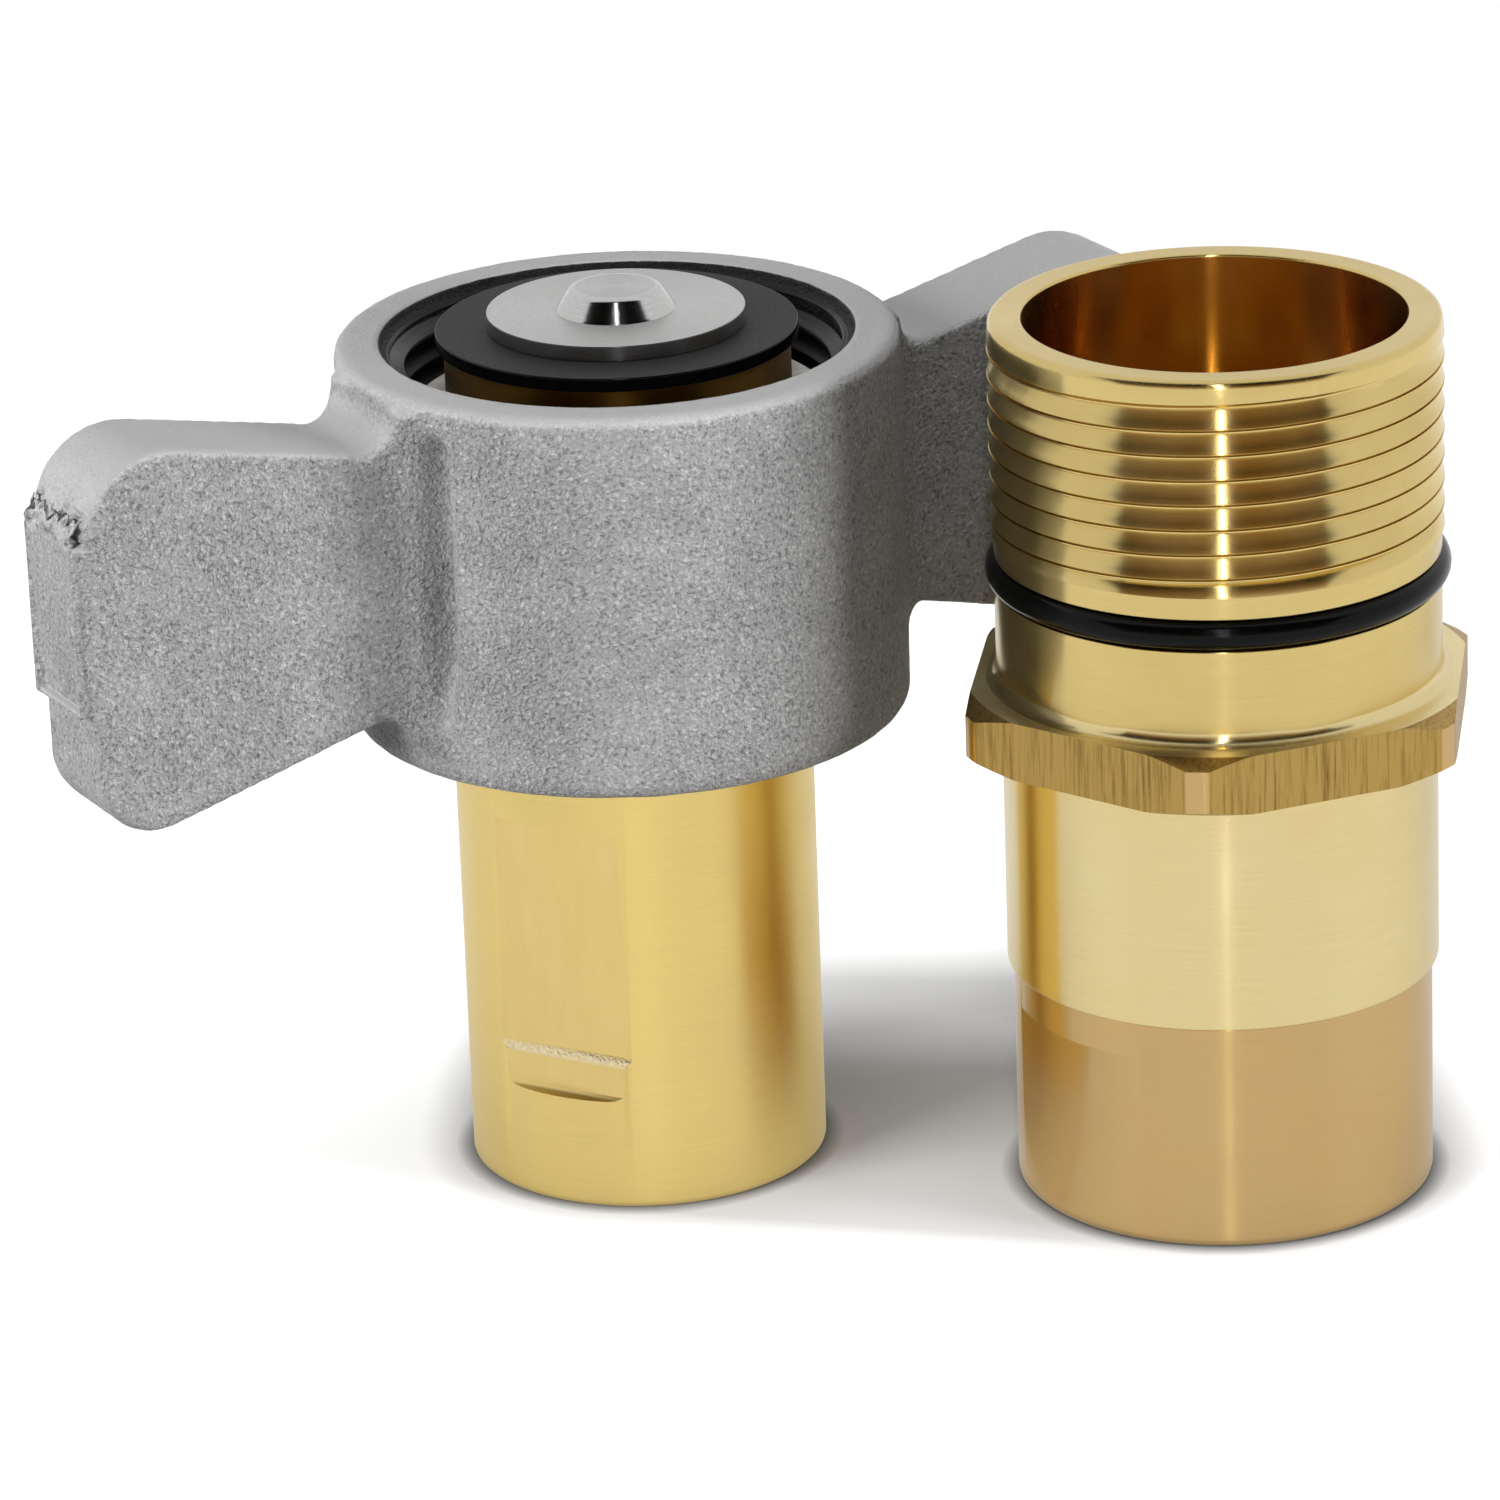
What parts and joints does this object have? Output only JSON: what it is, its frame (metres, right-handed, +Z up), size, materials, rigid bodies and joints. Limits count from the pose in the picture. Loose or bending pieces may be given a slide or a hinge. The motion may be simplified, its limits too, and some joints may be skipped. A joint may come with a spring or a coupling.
{
  "type": "wing nut quick coupler",
  "caption": "Quick coupler in two halves: a wing nut turning around a sprung tubular valve, and a threaded half with a hexagon and a sprung poppet, each with a pipe port.",
  "frame": {"origin": "on the axis of the half with the wing nut, at the face that it stands on, where its pipe port opens", "axes": "+Z up, out of the nut's mouth along both halves' axes; +X along the nut's two wings; the threaded half stands at +X and -Y"},
  "size_m": [0.1718, 0.1168, 0.1162],
  "materials": {
    "brass_satin": "machined brass with a fine satin turning grain",
    "brass_polished": "finely turned brass, nearly polished",
    "brass_rose": "machined brass of a redder batch, satin",
    "nut_grey": "blasted casting with a light grey matt plating",
    "plain_steel": "turned and brushed",
    "spring_steel": "oiled spring steel",
    "black_rubber": "moulded black rubber",
    "pale_seal": "pale sealing plastic"
  },
  "bodies": {
    "female_half": {"female_body": "brass_satin", "thrust_ring": "plain_steel", "nut_clip": "spring_steel", "spider_clip": "spring_steel", "flow_spider": "brass_satin", "stem_spacer": "brass_satin", "backing_plate": "brass_satin", "seal_washer": "black_rubber", "retainer_disc": "plain_steel", "head_bolt": "plain_steel", "sleeve_spring": "spring_steel"},
    "wing_nut": {"wing_nut": "nut_grey"},
    "sleeve": {"valve_sleeve": "brass_polished", "face_seal": "pale_seal", "sleeve_ring": "black_rubber"},
    "male_half": {"port_adapter": "brass_rose", "adapter_ring": "black_rubber", "male_body": "brass_polished", "dust_ring": "black_rubber", "guide_spider": "brass_satin", "poppet_spring": "spring_steel"},
    "poppet": {"poppet": "brass_polished", "poppet_stem": "plain_steel", "poppet_ring": "black_rubber"}
  },
  "joints": [
    {"name": "nut_turn", "type": "hinge", "parent": "female_half", "child": "wing_nut", "pos_m": [0, 0, 0], "axis": [0, 0, 1], "range_deg": [-8, 107]},
    {"name": "sleeve_slide", "type": "slide", "parent": "female_half", "child": "sleeve", "axis": [0, 0, -1], "range_m": [0, 0.012], "stiffness_N_per_m": 1500, "springref_m": -0.02, "deforming": ["sleeve_spring"]},
    {"name": "male_lift", "type": "slide", "parent": "female_half", "child": "male_half", "axis": [0, 0, 1], "range_m": [0, 0.12]},
    {"name": "poppet_slide", "type": "slide", "parent": "male_half", "child": "poppet", "axis": [0, 0, -1], "range_m": [0, 0.011], "stiffness_N_per_m": 1200, "springref_m": -0.02, "deforming": ["poppet_spring"]}
  ]
}
